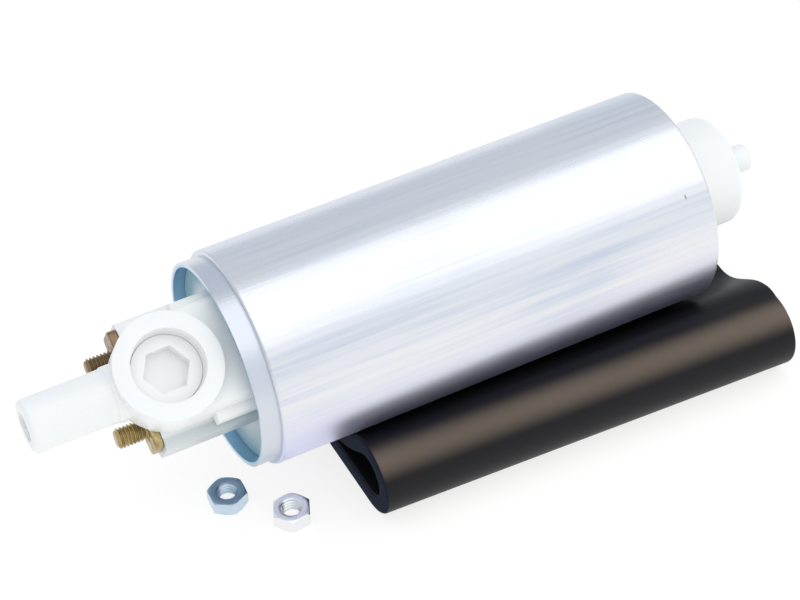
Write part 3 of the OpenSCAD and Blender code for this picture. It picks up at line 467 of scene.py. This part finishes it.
def sleeve_section(reach, wave, side):
    """The sleeve's closed line, side metres outside its middle: seat, front fold, back fold and back bend.

    The seat is an arc under the can, the folds stand on the floor, and tangents join all four. The back
    fold's place follows from the length of the tube's wall, which is pi times its mean diameter. A wave of
    one full sine runs across the layer above the front fold, down first and then up.
    """
    seat = can_r + can_gap + sleeve_wall / 2
    fold_z = floor_z + sleeve_wall / 2 + fold_r
    front_y = -reach + sleeve_wall / 2 + fold_r
    reached = math.hypot(front_y, fold_z)
    seat_turn = math.atan2(fold_z, front_y) + math.acos((seat + fold_r) / reached)
    lift = -seat + back_bend_r - fold_z
    run = math.sqrt((back_bend_r + fold_r) ** 2 - lift ** 2)
    bend_turn = math.asin(lift / (back_bend_r + fold_r))
    down, right = -math.pi / 2, 3 * math.pi / 2
    used = (seat * (down - seat_turn) + fold_r * (down - seat_turn + math.pi)
        + back_bend_r * (-down - bend_turn) + fold_r * (right - bend_turn)
        + math.sqrt(reached ** 2 - (seat + fold_r) ** 2))
    back_y = (math.pi * (sleeve_bore + sleeve_wall) - used + front_y + run) / 2
    seat_arc = arc(0.0, 0.0, seat - side, down, seat_turn)
    front_fold = arc(front_y, fold_z, fold_r + side, seat_turn + math.pi, right)
    back_fold = arc(back_y, fold_z, fold_r + side, down, math.pi - bend_turn)
    back_bend = arc(back_y - run, -seat + back_bend_r, back_bend_r - side, -bend_turn, down)
    upper = np.concatenate([seat_arc, line_to(seat_arc[-1], front_fold[0]), front_fold])
    crossed = np.clip((upper[:, 0] - wave_start) / (front_y - wave_start), 0.0, 1.0)
    upper[:, 1] -= wave * np.sin(2 * math.pi * crossed)
    return np.concatenate([upper, line_to(upper[-1], back_fold[0]), back_fold,
        line_to(back_fold[-1], back_bend[0]), back_bend, line_to(back_bend[-1], upper[0])])


def sleeve():
    """The section carried along X. Each of its points goes along the outside, over the far rim, back along
    the inside and over the near rim, and the section changes evenly from its near to its far form.
    """
    inside, outside = -middle_to_inside, middle_to_outside
    corner = np.linspace(0.0, math.pi / 2, 6)
    inward, onward = end_round * np.sin(corner), end_round * np.cos(corner)
    near_edge, far_edge = sleeve_start + end_round, sleeve_end - end_round
    run = np.linspace(near_edge, far_edge, 40)
    x = np.concatenate([run, far_edge + inward, far_edge + onward, run[::-1], near_edge - inward,
        near_edge - onward])
    side = np.concatenate([0 * run + outside, outside - end_round + onward, inside + end_round - inward,
        0 * run + inside, inside + end_round - onward, outside - end_round + inward])
    near = np.stack([sleeve_section(start_reach, 0.0, s) for s in side])
    far = np.stack([sleeve_section(end_reach, end_wave, s) for s in side])
    part = ((x - sleeve_start) / (sleeve_end - sleeve_start))[:, None, None]
    yz = near * (1.0 - part) + far * part
    return np.concatenate([x[:, None, None] + 0 * yz[..., :1], yz], -1)


black_rubber, painted_warm_sheen = (0.005, 0.0048, 0.0065), (0.135, 0.102, 0.076)
crest_direction = (-0.0213, -0.492, 0.870)

rubber, shader, place = finish("rubber", (0.03, 0.027, 0.026), 0.44, Specular_IOR_Level=0.24)
# Painted highlight: a warm band is painted along the crest of the front fold, where the top lamp's sheen
# falls.
crest = place.along(*crest_direction).step(-0.00238, -0.00108)
wear_and_painted_sheen = crest * crest * (0.75 + place.noise(60.0, (0.3, 1.0, 1.0)) * 0.5)
wear_and_painted_sheen.between(black_rubber, painted_warm_sheen).to(shader, "Base Color")
(0.40 + place.noise(90.0, (0.4, 1.0, 1.0), 5.0) * 0.16).to(shader, "Roughness")
(place.noise(1500.0) * 0.3 + place.noise(120.0, (0.2, 1.0, 1.0))).bump(0.00006).to(shader, "Normal")

# Painted reflection: the cut ends are painted dark blue for the bluish sky they reflect, and their specular
# is turned almost off.
cut_rubber, shader, place = finish("cut_rubber", (0.012, 0.018, 0.032), 0.75, Specular_IOR_Level=0.03)
place.noise(900.0).between((0.008, 0.013, 0.025), (0.017, 0.024, 0.040)).to(shader, "Base Color")
place.noise(2400.0).bump(0.00004).to(shader, "Normal")

tube = surface("sleeve_rubber", sleeve(), closed=True)
tube.data.materials.append(rubber)
tube.data.materials.append(cut_rubber)
centres = np.empty(len(tube.data.polygons) * 3)
tube.data.polygons.foreach_get("center", centres)
at_cut = centres[::3] < sleeve_start + end_round / 2
tube.data.polygons.foreach_set("material_index", at_cut.astype(np.int32))
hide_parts("rubber_sleeve")
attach(tube, "pump")


# The inside of the pump. Turned and ground steel, sintered bronze, carbon, copper and moulded
# plastic parts stand behind each other in the can, and most are hidden once it is closed.
def inner_finish(name, dark, light, roughness, metallic, grain, nodes):
    """A cloudy finish between two colours, given to the named nodes."""
    made, shader, place = finish(name, light, roughness, metallic)
    cloud = place.noise(grain, detail=4.0)
    cloud.between(dark, light).to(shader, "Base Color")
    (roughness - 0.1 + cloud * 0.2).to(shader, "Roughness")
    place.noise(grain * 6.0).bump(0.00001).to(shader, "Normal")
    for node in nodes:
        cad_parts[node].material_slots[0].material = made


inner_finish("ground_steel", (0.55, 0.56, 0.58), (0.74, 0.75, 0.77), 0.25, 1.0, 500.0,
    ["valve_ball", "shaft", "rotor_spindle"])
inner_finish("spring_wire", (0.45, 0.45, 0.47), (0.62, 0.62, 0.64), 0.3, 1.0, 900.0,
    ["valve_spring", "brush_spring_upper", "brush_spring_lower", "magnet_clips"])
inner_finish("core_steel", (0.28, 0.29, 0.31), (0.42, 0.43, 0.45), 0.4, 1.0, 300.0,
    ["armature_core", "flux_ring"])
inner_finish("rotor_steel", (0.36, 0.36, 0.38), (0.52, 0.52, 0.54), 0.35, 1.0, 400.0,
    ["rotor_ring", "inner_rotor", "outer_rotor"])
inner_finish("black_screws", (0.08, 0.08, 0.09), (0.16, 0.16, 0.17), 0.4, 1.0, 700.0,
    ["pump_screws"])
inner_finish("pump_aluminium", (0.60, 0.61, 0.63), (0.74, 0.75, 0.77), 0.35, 1.0, 250.0,
    ["port_plate", "inlet_plate"])
inner_finish("holder_plastic", (0.06, 0.065, 0.07), (0.10, 0.105, 0.11), 0.5, 0.0, 300.0,
    ["brush_holder"])
inner_finish("coupling_plastic", (0.22, 0.17, 0.12), (0.30, 0.24, 0.17), 0.5, 0.0, 400.0,
    ["drive_coupling"])
inner_finish("sintered_bronze", (0.38, 0.27, 0.14), (0.56, 0.41, 0.24), 0.5, 1.0, 1200.0,
    ["outlet_bearing", "inlet_bearing"])
inner_finish("turned_copper", (0.62, 0.33, 0.19), (0.80, 0.48, 0.30), 0.28, 1.0, 600.0,
    ["commutator"])
inner_finish("lacquered_copper", (0.34, 0.13, 0.05), (0.56, 0.25, 0.10), 0.3, 0.6, 900.0,
    ["armature_winding"])
inner_finish("carbon", (0.03, 0.03, 0.033), (0.06, 0.06, 0.063), 0.6, 0.0, 1500.0,
    ["brush_upper", "brush_lower"])
inner_finish("ferrite", (0.05, 0.05, 0.055), (0.09, 0.09, 0.095), 0.6, 0.0, 400.0,
    ["magnet_left", "magnet_right"])
inner_finish("seal_rubber", (0.015, 0.015, 0.016), (0.03, 0.03, 0.03), 0.5, 0.0, 500.0,
    ["cap_seal", "inlet_seal"])
inner_finish("inner_brass", (0.45, 0.33, 0.14), (0.70, 0.55, 0.28), 0.3, 1.0, 500.0,
    ["valve_seat", "contact_straps"])


def spring(node, outward):
    """A merged copy of a CAD spring with a mesh of its own. It looks up the point farthest along outward,
    and keeps the spring's full length.
    """
    made = merged_copy(node, node + "_wire")
    points = np.empty(len(made.data.vertices) * 3)
    made.data.vertices.foreach_get("co", points)
    points = points.reshape(-1, 3)
    rise = points @ outward
    points[rise.argmax()].tolist()
    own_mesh(made)


spring("valve_spring", towards_boss)
spring("brush_spring_upper", towards_boss)
spring("brush_spring_lower", -towards_boss)
